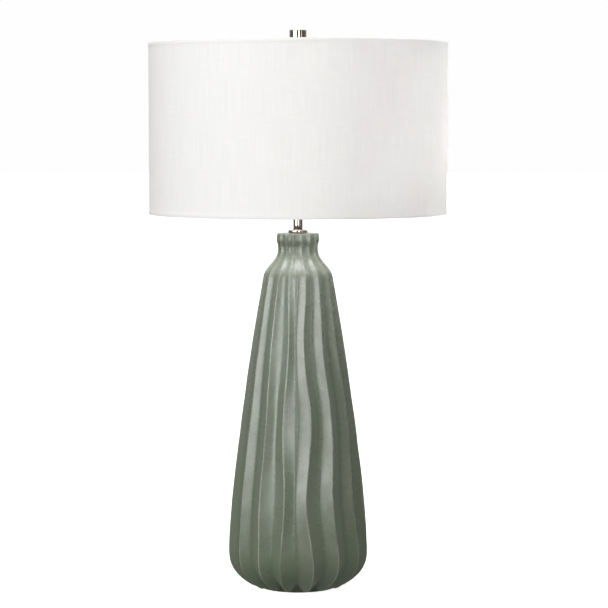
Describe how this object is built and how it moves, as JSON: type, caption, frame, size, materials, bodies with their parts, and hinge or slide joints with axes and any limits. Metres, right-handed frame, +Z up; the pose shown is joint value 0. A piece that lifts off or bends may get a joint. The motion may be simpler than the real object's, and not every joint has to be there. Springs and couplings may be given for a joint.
{
  "type": "table lamp",
  "caption": "Tall tapered vase lamp with hand-cut vertical ribs, a short ribbed neck, polished metal fittings and a white drum shade on a harp.",
  "frame": {"origin": "centre of the felt pad's underside, where the lamp stands", "axes": "+Z up along the rod, -Y towards the viewer of the picture, +X to that viewer's right"},
  "size_m": [0.3999, 0.4, 0.7505],
  "materials": {
    "sage_glaze": "satin",
    "felt": "matte",
    "rubber": "matte",
    "zinc_steel": "zinc plated",
    "grommet_plastic": "moulded",
    "polished_nickel": "polished",
    "nickel_plate": "bright plated",
    "card": "pressed",
    "switch_plastic": "moulded",
    "contact_brass": "bright",
    "key_plastic": "moulded",
    "opal_glass": "frosted",
    "cap_aluminium": "rolled",
    "black_glass": "gloss",
    "shade_cloth": "woven",
    "styrene": "satin",
    "white_wire": "painted"
  },
  "bodies": {
    "base": {"ceramic_body": "sage_glaze", "base_felt": "felt", "foot_gasket": "rubber", "foot_washer": "zinc_steel", "lock_washer": "zinc_steel", "foot_nut": "zinc_steel", "threaded_rod": "zinc_steel", "cord_grommet": "grommet_plastic", "cap_gasket": "rubber", "vase_cap": "polished_nickel", "neck_tube": "polished_nickel", "harp_saddle": "nickel_plate", "saddle_nut": "zinc_steel", "socket_cap": "nickel_plate", "cap_set_screw": "zinc_steel", "socket_shell": "nickel_plate", "insulating_sleeve": "card", "socket_interior": "switch_plastic", "screw_shell": "contact_brass", "centre_contact": "contact_brass", "terminal_screws": "contact_brass"},
    "key": {"switch_key": "key_plastic"},
    "bulb": {"bulb_glass": "opal_glass", "bulb_cap": "cap_aluminium", "bulb_insulator": "black_glass", "bulb_contact": "cap_aluminium"},
    "harp": {"harp_bow": "nickel_plate"},
    "ferrule_left": {"harp_ferrule_left": "nickel_plate"},
    "ferrule_right": {"harp_ferrule_right": "nickel_plate"},
    "stud": {"harp_stud": "nickel_plate"},
    "shade": {"shade_fabric": "shade_cloth", "shade_liner": "styrene", "spider_ring": "white_wire", "shade_bottom_ring": "white_wire", "shade_top_hem": "shade_cloth", "shade_bottom_hem": "shade_cloth"},
    "finial": {"finial": "polished_nickel"}
  },
  "joints": [
    {"name": "switch_key_turn", "type": "hinge", "parent": "base", "child": "key", "pos_m": [0, -0.02, 0.5377], "axis": [0, -1, 0], "continuous": true},
    {"name": "bulb_out", "type": "slide", "parent": "base", "child": "bulb", "axis": [0, 0, 1], "range_m": [0, 0.028]},
    {"name": "harp_lift", "type": "slide", "parent": "base", "child": "harp", "axis": [0, 0, 1], "range_m": [0, 0.03]},
    {"name": "ferrule_left_lift", "type": "slide", "parent": "harp", "child": "ferrule_left", "axis": [0, 0, 1], "range_m": [0, 0.014]},
    {"name": "ferrule_right_lift", "type": "slide", "parent": "harp", "child": "ferrule_right", "axis": [0, 0, 1], "range_m": [0, 0.014]},
    {"name": "stud_turn", "type": "hinge", "parent": "harp", "child": "stud", "pos_m": [0, 0, 0.72], "axis": [0, 0, 1], "continuous": true},
    {"name": "shade_lift", "type": "slide", "parent": "stud", "child": "shade", "axis": [0, 0, 1], "range_m": [0, 0.24]},
    {"name": "finial_lift", "type": "slide", "parent": "shade", "child": "finial", "axis": [0, 0, 1], "range_m": [0, 0.02]}
  ]
}
